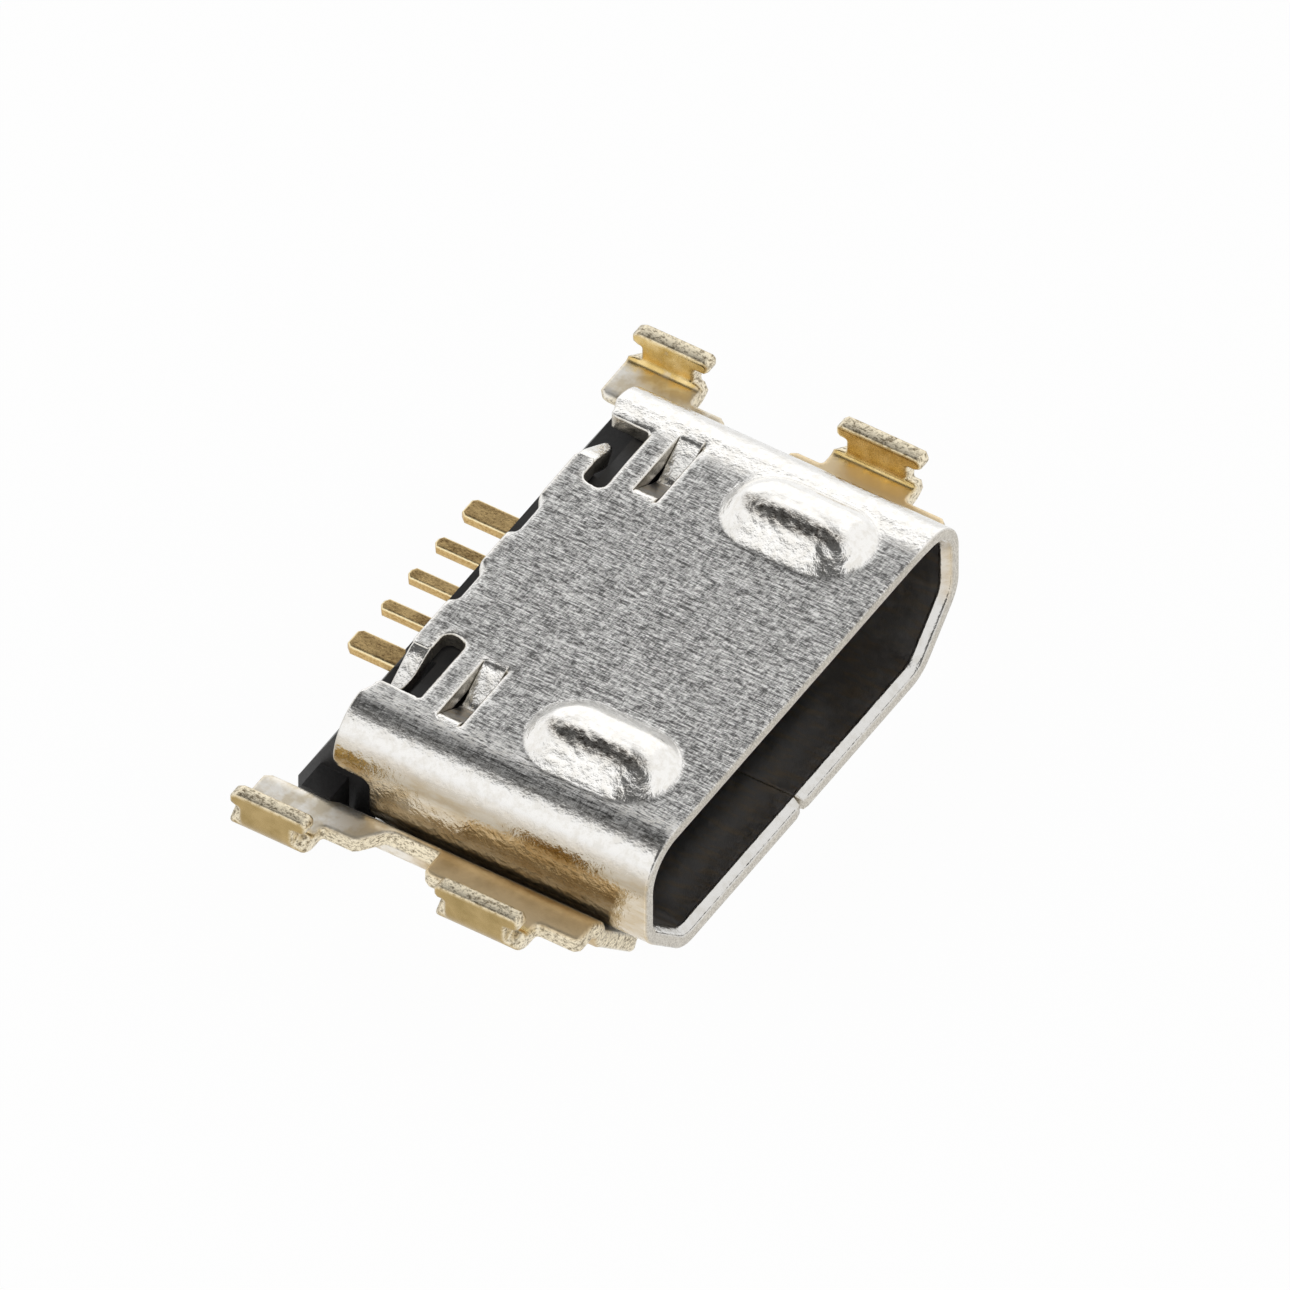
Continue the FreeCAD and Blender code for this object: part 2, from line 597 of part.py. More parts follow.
def add_rear_sides(body):
    """Upright sides behind the shell's walls, and the wider foot between the leg frame's rear flanges."""
    side = f"({HALF_WIDTH} - shell_sheet - fit_gap)"
    shoulder = f"({BOARD_LEVEL} + fit_gap)"
    rear_side_start = "shell_depth - rear_side_start"
    upper = box_corners(f"-{side}", side, f"{BEVEL_TOP} - rear_side_drop", shoulder)
    pad(body, "RearSides", outline(body, "RearSideSection", "XZ_Plane", [upper], rear_side_start),
        f"{BLOCK_END} - ({rear_side_start})", reverse=True)
    lower = box_corners(f"-{side}", side, SHELL_LOW, shoulder)
    pad(body, "RearBase", outline(body, "RearBaseSection", "XZ_Plane", [lower], "shell_depth + fit_gap / 2"),
        "block_overhang - fit_gap / 2", reverse=True)
    toe = f"({HALF_WIDTH} + foot_reach)"
    foot = box_corners(f"-{toe}", toe, f"{BOARD_LEVEL} - foot_depth", f"{BOARD_LEVEL} - foot_below_board")
    pad(body, "RearFoot", outline(body, "RearFootSection", "XZ_Plane", [foot], "shell_depth + fit_gap / 2"),
        "foot_length", reverse=True)


def add_tongue(body):
    """Tongue with a bevelled nose, its top a little under the blades' top."""
    top = f"({BOARD_LEVEL} - blade_proud)"
    corners = [("tongue_front", f"{top} - tongue_thick + tongue_nose"),
               ("tongue_front + tongue_nose", f"{top} - tongue_thick"),
               (f"{BLOCK_FRONT} + shell_sheet", f"{top} - tongue_thick"), (f"{BLOCK_FRONT} + shell_sheet", top),
               ("tongue_front + tongue_nose / 2", top), ("tongue_front", f"{top} - tongue_nose / 2")]
    sketch = outline(body, "TongueProfile", "YZ_Plane", [corners], "-tongue_width / 2")
    pad(body, "Tongue", sketch, "tongue_width")


def cut_recesses(body):
    """Room under the lances and the bent tabs."""
    lance = box_corners("lance_start - recess_play", "lance_start + lance_length + recess_play",
                        f"{LANCE_FRONT} - recess_play", f"{LANCE_REAR} + recess_play")
    tab = box_corners("tab_hinge - recess_play", f"{HALF_WIDTH} - shell_sheet - 2 * recess_play",
                      f"{SLOT_REAR} - recess_play", f"{BLOCK_END} + {CUT_MARGIN}")
    lance_cut = pocket(body, "LanceRecess", outline(body, "LanceRecessOutline", "XY_Plane", [lance], SHELL_TOP),
                       "shell_sheet + lance_dip + recess_play")
    tab_cut = pocket(body, "TabRecess", outline(body, "TabRecessOutline", "XY_Plane", [tab], SHELL_TOP),
                     "shell_sheet + tab_drop + recess_play")
    mirror(body, "RecessPair", [lance_cut, tab_cut])


def build_contact(document, number):
    """One flat strip from the tongue to its solder tail."""
    body = new_body(document, f"contact_{number + 1}")
    sketch = outline(body, "StripOutline", "XY_Plane", [contact_corners(number)],
                     f"{BOARD_LEVEL} - contact_thick")
    pad(body, "Strip", sketch, "contact_thick")
    return body


def check_document(document, bodies):
    """Stop on any failed object or bad shape."""
    for item in document.Objects:
        if "Invalid" in item.State or "Error" in item.State:
            raise ValueError(f"{item.Label} failed: {item.State}")
    for body in bodies:
        shape = body.Shape
        if shape.isNull() or not shape.isValid() or len(shape.Solids) != 1:
            raise ValueError(f"{body.Label} is not one valid solid")


def export_parts(bodies):
    """One STEP file per piece, in the part's frame."""
    os.makedirs("parts", exist_ok=True)
    for body in bodies:
        body.Shape.exportStep(f"parts/{body.Label}.step")
        box = body.Shape.BoundBox
        print(body.Label, f"volume {body.Shape.Volume:.3f}", f"X {box.XMin:.2f} {box.XMax:.2f}",
              f"Y {box.YMin:.2f} {box.YMax:.2f}", f"Z {box.ZMin:.2f} {box.ZMax:.2f}")


def main():
    document = new_document()
    bodies = [build_shell(document), build_leg_frame(document), build_insulator(document)]
    bodies += [build_contact(document, number) for number in range(SIZES["contact_count"])]
    document.recompute()
    check_document(document, bodies)
    export_parts(bodies)


main()
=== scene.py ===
"""Look of the mid-mount charging port: stamped sheets with rounded cut edges, raised bumps, gold and nickel plating.

Every surface is worked out in millimetres in the port's own frame, X across, B back from the mouth, Z up,
and goes into its mesh in metres with Y = B - 2.97 mm.
"""
import bmesh
import bpy
import numpy as np
from mathutils import Matrix, Vector


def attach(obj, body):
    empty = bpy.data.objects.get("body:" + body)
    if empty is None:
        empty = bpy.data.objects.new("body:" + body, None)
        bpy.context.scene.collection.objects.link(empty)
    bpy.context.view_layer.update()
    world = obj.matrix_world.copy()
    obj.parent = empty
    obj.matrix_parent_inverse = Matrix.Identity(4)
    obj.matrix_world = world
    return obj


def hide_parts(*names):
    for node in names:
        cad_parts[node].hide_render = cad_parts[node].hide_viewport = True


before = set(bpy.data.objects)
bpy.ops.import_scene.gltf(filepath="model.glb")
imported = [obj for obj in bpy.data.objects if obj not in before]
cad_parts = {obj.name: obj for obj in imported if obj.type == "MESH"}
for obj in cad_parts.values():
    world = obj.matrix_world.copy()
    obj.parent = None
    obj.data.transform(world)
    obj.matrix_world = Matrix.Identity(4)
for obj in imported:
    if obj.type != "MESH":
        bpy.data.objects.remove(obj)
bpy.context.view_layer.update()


MM = 0.001
MOUTH = -2.97  # Y of the mouth
TOP = 2.65  # level of the shell's flat top
BOARD = 1.48  # level of the flanges' and tails' upper side
SHEET = 0.25
STRIP = 0.15
FAR = 12.0  # past everything, for cuts that run off the sheet

# Triangles of a grid cell for each set of corners that lie on the sheet: corners 0-3, crossings 4-7 on its sides.
CELL_FACES = {
    1: [(0, 4, 7)], 2: [(1, 5, 4)], 3: [(0, 1, 5), (0, 5, 7)], 4: [(2, 6, 5)], 5: [(0, 4, 7), (2, 6, 5)],
    6: [(1, 2, 6), (1, 6, 4)], 7: [(0, 1, 2), (0, 2, 6), (0, 6, 7)], 8: [(3, 7, 6)], 9: [(0, 4, 6), (0, 6, 3)],
    10: [(1, 5, 4), (3, 7, 6)], 11: [(0, 1, 5), (0, 5, 6), (0, 6, 3)], 12: [(2, 3, 7), (2, 7, 5)],
    13: [(0, 4, 5), (0, 5, 2), (0, 2, 3)], 14: [(1, 2, 3), (1, 3, 7), (1, 7, 4)], 15: [(0, 1, 2), (0, 2, 3)],
}
CELL_RIMS = {1: [(4, 7)], 2: [(5, 4)], 3: [(5, 7)], 4: [(6, 5)], 5: [(4, 7), (6, 5)], 6: [(6, 4)], 7: [(6, 7)],
             8: [(7, 6)], 9: [(4, 6)], 10: [(5, 4), (7, 6)], 11: [(5, 6)], 12: [(7, 5)], 13: [(4, 5)], 14: [(7, 4)]}


# Outlines on the flat sheet: distance inside an edge, in millimetres, positive on the metal.

def box_field(across, along, low, high, front, rear, corner=0.03):
    """Distance inside a rectangle with round corners: the least of the four side distances, and by the corner circle
    where both lie within the corner's radius."""
    side = np.minimum(across - low, high - across) - corner
    end = np.minimum(along - front, rear - along) - corner
    round_part = -np.hypot(np.minimum(side, 0), np.minimum(end, 0))
    return corner + np.where((side < 0) & (end < 0), round_part, np.minimum(side, end))


def joined(first, second, round_in=0.0):
    """Union of two outlines, its inner corner rounded by a polynomial smooth maximum."""
    if round_in == 0:
        return np.maximum(first, second)
    share = np.clip(0.5 + 0.5 * (first - second) / round_in, 0, 1)
    return second + (first - second) * share + round_in * share * (1 - share)


def without(first, second, round_out=0.0):
    """First outline with the second cut out of it, outer corners rounded by a polynomial smooth minimum."""
    return -joined(-first, second, round_out)


def ease(value):
    """Smooth step from 0 to 1: three times the square less twice the cube."""
    held = np.clip(value, 0, 1)
    return held * held * (3 - 2 * held)


# Folded lines: the sheet's path across the port, by arc length from its middle.

def folded_line(corners, radii):
    """Line through (x, z) corners, each corner an arc of its radius. A point at arc length s on a stretch with start
    p, heading a and curvature k is p + d sinc(k d / 2) (cos(a + k d / 2), sin(a + k d / 2)), d from the stretch's
    start; the normal is the heading turned a quarter to the left. Arc length is 0 half way along."""
    points = np.array(corners, float)
    legs = np.diff(points, axis=0)
    headings = np.unwrap(np.arctan2(legs[:, 1], legs[:, 0]))
    turns = np.diff(headings)
    arcs = np.array(radii, float)
    trims = arcs * np.tan(np.abs(turns) / 2)
    lengths = np.hypot(legs[:, 0], legs[:, 1])
    lengths -= np.concatenate([[0], trims]) + np.concatenate([trims, [0]])
    spans = np.zeros(2 * len(lengths) - 1)
    spans[0::2] = lengths
    spans[1::2] = arcs * np.abs(turns)
    bends = np.zeros(len(spans))
    bends[1::2] = np.sign(turns) / arcs
    aims = np.zeros(len(spans))
    aims[0::2] = headings
    aims[1::2] = headings[:-1]
    half = spans / 2
    chord = spans * np.sinc(bends * half / np.pi)
    steps = np.stack([chord * np.cos(aims + bends * half), chord * np.sin(aims + bends * half)], -1)
    starts = points[0] + np.concatenate([[[0, 0]], np.cumsum(steps, axis=0)[:-1]])
    begins = np.concatenate([[0], np.cumsum(spans)[:-1]])
    middle = spans.sum() / 2

    def at(arc):
        """Points and left normals at arc lengths from the line's middle."""
        reached = np.asarray(arc, float) + middle
        part = np.clip(np.searchsorted(begins, reached, side="right") - 1, 0, len(spans) - 1)
        run = reached - begins[part]
        turned = aims[part] + bends[part] * run / 2
        straight = run * np.sinc(bends[part] * run / 2 / np.pi)
        heading = aims[part] + bends[part] * run
        spot = starts[part] + np.stack([straight * np.cos(turned), straight * np.sin(turned)], -1)
        return spot, np.stack([-np.sin(heading), np.cos(heading)], -1)

    return at, middle


def even(value):
    """The same value all over a sheet."""
    return lambda across, along: np.full(len(across), value)


def slope_of(field, across, along, reach=0.004):
    """Unit direction in which the distance grows: central differences over a small reach."""
    by_across = field(across + reach, along) - field(across - reach, along)
    by_along = field(across, along + reach) - field(across, along - reach)
    size = np.maximum(np.hypot(by_across, by_along), 1e-9)
    return by_across / size, by_along / size


def sheet_surface(field, place, across_lines, along_lines, thick, rim=0.045, turns=3, worked=None):
    """Closed surface of a cut sheet. The flat faces are the grid's cells inside the outline moved in by the rim,
    with crossings where the distance is zero. Round the outline each face goes on over rings at rim times the sine
    outwards and rim times one less the cosine down, and a strip joins the two sides. place(across, along, depth)
    gives the points in space; thick(across, along) is the sheet's thickness there. Three shares go with each point:
    of the cut edge, of the way to the inner side, and of forming by worked(across, along), or 1 all over."""
    def inset(across, along):
        """Distance inside the outline moved in by the rim."""
        return field(across, along) - rim

    on_line, near_corner, furthest = 1e-7, 0.12, 0.02
    columns, rows = len(across_lines), len(along_lines)
    grid_across, grid_along = np.meshgrid(across_lines, along_lines, indexing="ij")
    level = inset(grid_across, grid_along)
    level = np.where(np.abs(level) < on_line, on_line, level)
    inside = level > 0
    mask = (inside[:-1, :-1] * 1 + inside[1:, :-1] * 2 + inside[1:, 1:] * 4 + inside[:-1, 1:] * 8).ravel()
    index = np.arange(columns * rows).reshape(columns, rows)
    cross_rows = columns * rows + np.arange((columns - 1) * rows).reshape(columns - 1, rows)
    cross_columns = cross_rows.max() + 1 + np.arange(columns * (rows - 1)).reshape(columns, rows - 1)
    cell = np.stack([part.ravel() for part in (
        index[:-1, :-1], index[1:, :-1], index[1:, 1:], index[:-1, 1:],
        cross_rows[:, :-1], cross_columns[1:, :], cross_rows[:, 1:], cross_columns[:-1, :])], -1)
    faces = np.concatenate([cell[mask == case][:, list(corners)] for case, found in CELL_FACES.items()
                            for corners in found])
    rims = np.concatenate([cell[mask == case][:, list(corners)] for case, found in CELL_RIMS.items()
                           for corners in found])
    share_rows = level[:-1] / (level[:-1] - level[1:] + 1e-12)
    share_rows = np.clip(share_rows, near_corner, 1 - near_corner)
    share_columns = level[:, :-1] / (level[:, :-1] - level[:, 1:] + 1e-12)
    share_columns = np.clip(share_columns, near_corner, 1 - near_corner)
    flat = np.concatenate([
        np.stack([grid_across.ravel(), grid_along.ravel()], -1),
        np.stack([(grid_across[:-1] + share_rows * (grid_across[1:] - grid_across[:-1])).ravel(),
                  grid_along[:-1].ravel()], -1),
        np.stack([grid_across[:, :-1].ravel(),
                  (grid_along[:, :-1] + share_columns * (grid_along[:, 1:] - grid_along[:, :-1])).ravel()], -1)])
    used, faces = np.unique(faces, return_inverse=True)
    faces = faces.reshape(-1, 3)
    rims = np.searchsorted(used, rims)
    flat = flat[used]
    edge, rims = np.unique(rims, return_inverse=True)
    rims = rims.reshape(-1, 2)
    line = flat[edge]
    for _ in range(3):
        step_across, step_along = slope_of(inset, line[:, 0], line[:, 1])
        miss = np.clip(inset(line[:, 0], line[:, 1]), -furthest, furthest)
        line = line - np.stack([step_across, step_along], -1) * miss[:, None]
    flat[edge] = line
    step_across, step_along = slope_of(inset, line[:, 0], line[:, 1])
    outwards = -np.stack([step_across, step_along], -1)
    full = thick(flat[:, 0], flat[:, 1])
    angles = np.linspace(0, np.pi / 2, turns + 1)[1:]
    edge_full = thick(line[:, 0], line[:, 1])
    layers = [place(flat[:, 0], flat[:, 1], np.zeros(len(flat)))]
    torn = [np.zeros(len(flat))] + [np.full(len(edge), np.sin(angle) ** 2) for angle in angles]
    torn += torn[:0:-1] + torn[:1]
    inner = [np.full(len(part), share) for part, share in zip(torn, np.linspace(0, 1, len(torn)))]
    moved = [line + outwards * rim * np.sin(angle) for angle in angles]
    layers += [place(spot[:, 0], spot[:, 1], np.full(len(edge), rim * (1 - np.cos(angle))))
               for spot, angle in zip(moved, angles)]
    layers += [place(spot[:, 0], spot[:, 1], edge_full - rim * (1 - np.cos(angle)))
               for spot, angle in zip(moved[::-1], angles[::-1])]
    layers.append(place(flat[:, 0], flat[:, 1], full))
    starts = np.cumsum([0] + [len(layer) for layer in layers])
    rings = [edge] + [starts[number] + np.arange(len(edge)) for number in range(1, 2 * turns + 1)]
    rings.append(starts[-2] + edge)
    walls = []
    for near, far in zip(rings[:-1], rings[1:]):
        walls.append(np.stack([near[rims[:, 1]], near[rims[:, 0]], far[rims[:, 0]]], -1))
        walls.append(np.stack([near[rims[:, 1]], far[rims[:, 0]], far[rims[:, 1]]], -1))
    back = faces[:, ::-1] + starts[-2]
    turned = [flat] + [line] * (2 * turns) + [flat]
    formed = [np.ones(len(part)) if worked is None else worked(part[:, 0], part[:, 1]) for part in turned]
    shares = np.stack([np.concatenate(torn), np.concatenate(inner), np.concatenate(formed)])
    return np.concatenate(layers), np.concatenate([faces] + walls + [back]), shares


def along_line(at, lift=None):
    """Placing of a sheet by its folded line: point plus normal times lift less depth, at B as its Y."""
    def place(across, along, depth):
        spot, normal = at(across)
        raised = -depth if lift is None else lift(across, along) - depth
        return np.stack([spot[:, 0] + normal[:, 0] * raised, along, spot[:, 1] + normal[:, 1] * raised], -1)
    return place


def in_scene(name, data):
    """New object of some data, linked to the scene."""
    made = bpy.data.objects.new(name, data)
    bpy.context.scene.collection.objects.link(made)
    return made


def new_piece(name, surfaces, material, slot, *nodes):
    """Mesh object from closed surfaces given in millimetres; it rides the port and stands for its solid."""
    points = np.concatenate([points for points, _, _ in surfaces])
    counts = np.cumsum([0] + [len(points) for points, _, _ in surfaces])
    faces = np.concatenate([found + start for (_, found, _), start in zip(surfaces, counts)])
    places = (points + np.array([0, MOUTH, 0])) * MM
    mesh = bpy.data.meshes.new(name)
    mesh.vertices.add(len(places))
    mesh.vertices.foreach_set("co", places.astype(np.float32).ravel())
    mesh.loops.add(faces.size)
    mesh.loops.foreach_set("vertex_index", faces.astype(np.int32).ravel())
    mesh.polygons.add(len(faces))
    mesh.polygons.foreach_set("loop_start", np.arange(0, faces.size, 3, dtype=np.int32))
    mesh.update(calc_edges=True)
    for label, row in (("cut_edge", 0), ("inner_side", 1), ("formed", 2)):
        mark = mesh.attributes.new(label, "FLOAT", "POINT")
        mark.data.foreach_set("value", np.concatenate([shares[row] for _, _, shares in surfaces]).astype(np.float32))
    mesh.validate()
    mesh.shade_smooth()
    mesh.materials.append(material)
    piece = in_scene(name, mesh)
    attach(piece, "root")
    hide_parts(*nodes)


def steps(*stretches):
    """Grid lines: (start, end, spacing) stretches end to end, each divided evenly."""
    lines = [np.linspace(low, high, int(np.ceil((high - low) / gap)) + 1)[:-1] for low, high, gap in stretches]
    return np.concatenate(lines + [[stretches[-1][1]]])


# Shell

WALL_LOW = 1.18
SHELL_CORNERS = [(0.012, 0.3), (2.87, 0.3), (3.75, WALL_LOW), (3.75, TOP)]
SHELL_LINE, SHELL_HALF = folded_line(
    [(-x, z) for x, z in SHELL_CORNERS] + SHELL_CORNERS[::-1], [0.6, 0.6, 0.7, 0.7, 0.6, 0.6])
TOP_REAR = 4.67
WALL_STEP = 0.08
SLOT_FRONT = 4.05
SLOT_OUT = 2.77
NOTCH_MIDDLE = 0.71
BUMP_OUT = 2.35
BUMP_ALONG = 1.55
BUMP_EDGE = 3.25  # no bump further out
BUMP_HALF = 0.7
BUMP_HEIGHT = 0.33
BUMP_FRONT, RIDGE_BEHIND = 0.45, 0.7
BUMP_REAR, RIDGE_BEFORE = 2.62, 0.62
RIGHT_BEND, LEFT_BEND = 2.6, 3.2
ROLL = 0.15
LEAD_IN = 0.13


def reach_of(line, half, test):
    """Arc length at which the right half of a folded line first passes a test of its (x, z) points."""
    arcs = np.linspace(0, half, 4001)
    return float(arcs[np.argmax(test(line(arcs)[0]))])


WALL_CUT = reach_of(SHELL_LINE, SHELL_HALF, lambda spot: spot[:, 1] <= TOP - 0.8)
BOTTOM_CUT = reach_of(SHELL_LINE, SHELL_HALF, lambda spot: spot[:, 1] <= WALL_LOW)


def slot_shape(side, along):
    """Rear slot, round at its inner end, with the open stretch behind it from the tab's hinge outwards."""
    slot = box_field(side, along, 1.6, SLOT_OUT, SLOT_FRONT, 4.37, 0.13)
    return joined(slot, box_field(side, along, 2.0, SLOT_OUT, SLOT_FRONT, FAR, 0.05))


def window_shape(side, along):
    """Window over a lance."""
    return box_field(side, along, 1.78, 2.92, 3.35, 3.69, 0.03)


def shell_field(across, along):
    """Outline of the unrolled shell: a rectangle, longer on the walls, less the wall's S cut, the windows, the slots,
    the rear notches and the mouth's nick at the seam."""
    side = np.abs(across)
    rear = TOP_REAR + WALL_STEP * ease((side - 2.85) / 0.25)
    field = box_field(across, along, -SHELL_HALF, SHELL_HALF, 0, rear, 0.02)
    field = without(field, box_field(side, along, WALL_CUT, FAR, 4.2, FAR, 0.15), 0.16)
    field = without(field, box_field(side, along, BOTTOM_CUT, FAR, 4.0, FAR, 0.1), 0.12)
    field = without(field, window_shape(side, along))
    field = without(field, slot_shape(side, along), 0.04)
    field = without(field, box_field(side, along, 0.42, 1.0, 4.595, FAR, 0.08), 0.1)
    return without(field, box_field(side, along, SHELL_HALF - 0.02, FAR, -FAR, 0.07, 0.01), 0.03)


def bump_share(across, along):
    """How far up a bump's flank a point lies, 0 at the foot and 1 on the crown's ridge: halving finds the slot shape,
    between the foot's and the ridge's, whose edge passes through the point."""
    low = np.full(np.shape(across), -0.2)
    high = np.full(np.shape(across), 1.0)
    side = np.abs(across)
    for _ in range(16):
        share = (low + high) / 2
        half = BUMP_HALF * (1 - share)
        front = BUMP_FRONT + RIDGE_BEHIND * share + half
        rear = BUMP_REAR - RIDGE_BEFORE * share - half
        nearest = np.clip(along, np.minimum(front, rear), rear)
        within = np.hypot(side - BUMP_OUT, along - nearest) < half
        low = np.where(within, share, low)
        high = np.where(within, high, share)
    return (low + high) / 2


def edge_roll(across, along):
    """How far the top is drawn down beside a punched edge, 0 to 1: the square of what is left of 0.15 mm to the edge,
    whole on edges that face backwards, a third on those that face sideways and none on those that face the mouth. The
    straight rear edge keeps a quarter of it, and its notches have over twice as much."""
    near = np.clip(1 - shell_field(across, along) / ROLL, 0, 1) ** 2
    _, inwards = slope_of(shell_field, across, along)
    top = (along > 3.1) & (np.abs(across) < 3.05)
    rear = ease((along - 4.3) / 0.1)
    notch = ease((0.42 - np.abs(np.abs(across) - NOTCH_MIDDLE)) / 0.12)
    share = 1 + rear * (2.0 * notch - 0.75)
    return np.where(top, near * ease((0.35 - inwards) / 0.95) * share, 0)


def bump_rise(across, along):
    """Height of the two bumps, a roof with its ridge to one side, and further by the square of the way to its ends:
    the steep flank is straight, the gentle one domed, both eased at the foot and on the ridge, and crossed waves peen
    the ridge."""
    foot, soft = 0.03, 0.24
    side = np.abs(across)
    share = np.clip(bump_share(across, along), -0.1, 1)
    bow = 0.26 * np.clip(np.abs(along - BUMP_ALONG) / 0.75, 0, 1.3) ** 2
    tilt = (side - BUMP_OUT) * np.sign(across) + bow
    gain = 1.42 - 0.1 * ease(0.5 + tilt / 0.5)
    flank = np.where(share < foot, np.maximum(share + foot, 0) ** 2 / (4 * foot), share)
    steep = flank * gain
    gentle = 1 - np.abs(1 - np.clip(flank, 0, 1)) ** 2.1
    height = steep + (gentle - steep) * ease((tilt + 0.24) / 0.34)
    missing = 1 - height
    height = 1 - np.where(np.abs(missing) < soft, (missing + soft) ** 2 / (4 * soft), np.maximum(missing, 0))
    dents = 0.005 * np.sin(13 * across + 6 * np.sin(5 * along)) * np.sin(15 * along + 5 * np.sin(7 * across + 1))
    dents += 0.003 * np.sin(31 * across + 9 * along) * np.sin(29 * along - 13 * across + 2)
    crown = ease((share - 0.12) / 0.3) * ease((0.2 - tilt) / 0.25)
    return np.where(side < BUMP_EDGE, BUMP_HEIGHT * height + dents * crown, 0) * (share > -0.05)


def shell_lift(across, along):
    """Height of the sheet's outer face over its fold: the bumps, less the roll at punched edges and a slight fall
    towards the right bend, by the square of the way from the bend's start."""
    fall = 0.13 * np.clip(across - RIGHT_BEND, 0, 0.45) ** 2
    return bump_rise(across, along) - 0.045 * edge_roll(across, along) - fall * ease(4.1 - across)


def shell_formed(across, along):
    """Share of worked, bright metal: bends, bumps and what is near a punched edge, over the flat rolled top."""
    side = np.abs(across)
    bend = np.maximum(ease((across - RIGHT_BEND) / 0.3), ease((-across - LEFT_BEND) / 0.3))
    bump = ease((bump_share(across, along) + 0.02) / 0.06) * (side < BUMP_EDGE)
    rim = ease(1.15 - shell_field(across, along) / 0.1) * (along > 3.1)
    return np.maximum(np.maximum(bend, bump), rim)


def shell_thick(across, along):
    """Sheet thickness, thinned on its inner side towards the mouth as a straight lead-in."""
    return SHEET - 0.1 * np.clip(1 - along / LEAD_IN, 0, 1)


def build_shell(material):
    """Folded shell, its two V lances and its two bent rear tabs. The lances' slopes that face right carry the same
    painted shade as the sheet's inner side."""
    place = along_line(SHELL_LINE, shell_lift)
    flush = TOP - 0.006
    end = SHELL_HALF + 0.09
    across = steps((-end, -6.5, 0.12), (-6.5, -3.1, 0.05), (-3.1, -1.55, 0.038),
                   (-1.55, 1.55, 0.09), (1.55, 3.1, 0.038), (3.1, 6.5, 0.05), (6.5, end, 0.12))
    along = steps((-0.06, 0.18, 0.03), (0.18, 0.42, 0.06), (0.42, 2.7, 0.038), (2.7, 3.2, 0.07), (3.2, 4.74, 0.04))
    surfaces = [sheet_surface(shell_field, place, across, along, shell_thick, 0.03, worked=shell_formed)]
    for side in (1, -1):
        lance = [(1.68, flush), (1.8, flush), (BUMP_OUT, TOP - 0.35), (2.9, flush), (3.02, flush)]
        points, faces, shares = bent_strip(lance, [0.12, 0.2, 0.12], side, 3.355, 3.685, 0.012)
        # painted shade: the lances' right-facing slopes take the inner side's share, and so its painted shade
        painted_lance_shade = ease((side * BUMP_OUT - points[:, 0]) / 0.06) * ease((TOP - 0.03 - points[:, 2]) / 0.03)
        shares[1] = np.maximum(shares[1], painted_lance_shade)
        surfaces.append((points, faces, shares))
        tab = [(1.8, flush), (2.03, flush), (2.64, TOP - 0.4)]
        surfaces.append(bent_strip(tab, [0.5], side, 4.375, 4.645, 0.03, tapered=True))
    new_piece("folded_shell", surfaces, material, "shell_metal", "shell")


def bent_strip(corners, radii, side, front, rear, rim, tapered=False):
    """Strip of the shell's sheet along a bent line on one side of the top, cut square at both ends, or its front edge
    carried back to the rear one along a curve like a quarter of an ellipse over the outer end."""
    path = [(side * x, z) for x, z in corners]
    at, half = folded_line(path[::side], radii[::side])

    def field(across, along):
        """Rectangle, less the taper of its outer end."""
        strip = box_field(across, along, -half, half, front, rear, 0.01)
        if not tapered:
            return strip
        straight = 0.28
        outer = np.clip((side * across + half - straight) / (2 * half - straight), 0, 1.2)
        edge = front + (rear - front - 0.02) * (1 - np.sqrt(np.clip(1 - outer ** 2.5, 0, 1)))
        return np.minimum(strip, (along - edge) / 1.15)

    margin, spacing = 0.05, 0.025
    lines = steps((-half - margin, half + margin, spacing))
    rows = steps((front - margin, rear + margin, spacing))
    return sheet_surface(field, along_line(at), lines, rows, even(SHEET), rim)


# Leg frame: the line runs along the middle of its sheet

FRAME_CORNERS = [(2.9425, 0.125), (3.925, 1.1075), (3.925, 1.355), (4.825, 1.355), (4.825, 1.95)]
FRAME_BENDS = [0.3, 0.165, 0.17, 0.225]
FRAME_LINE, FRAME_HALF = folded_line(
    [(-x, z) for x, z in FRAME_CORNERS[::-1]] + FRAME_CORNERS, FRAME_BENDS[::-1] + FRAME_BENDS)
FRAME_FRONT, FRAME_REAR = 0.6, 4.6


def arc_at(across=0, up=0):
    """Arc length at which the right half of the frame's line first reaches a distance across and a level."""
    return reach_of(FRAME_LINE, FRAME_HALF, lambda spot: (spot[:, 0] >= across) & (spot[:, 1] >= up))


WALL_END = arc_at(across=4.04)
FLANGE_END = arc_at(across=4.43)
FLANGE_FREE = arc_at(across=4.075)
LEG_ROOT = arc_at(across=4.3)
FLOOR_EDGE = arc_at(across=2.95)
NECK_LEVEL = arc_at(across=4.6, up=1.5)


def leg_field(side, along, head, neck, base):
    """Outline of one leg: a wide base, a narrower neck and the wide head, run together by smooth maxima."""
    foot = box_field(side, along, LEG_ROOT - 0.3, NECK_LEVEL - 0.02, base[0], base[1], 0.05)
    waist = box_field(side, along, LEG_ROOT, FRAME_HALF - 0.05, neck[0], neck[1], 0.02)
    crest = box_field(side, along, FRAME_HALF - 0.2, FRAME_HALF, head[0], head[1], 0.05)
    return joined(joined(foot, waist, 0.1), crest, 0.09)


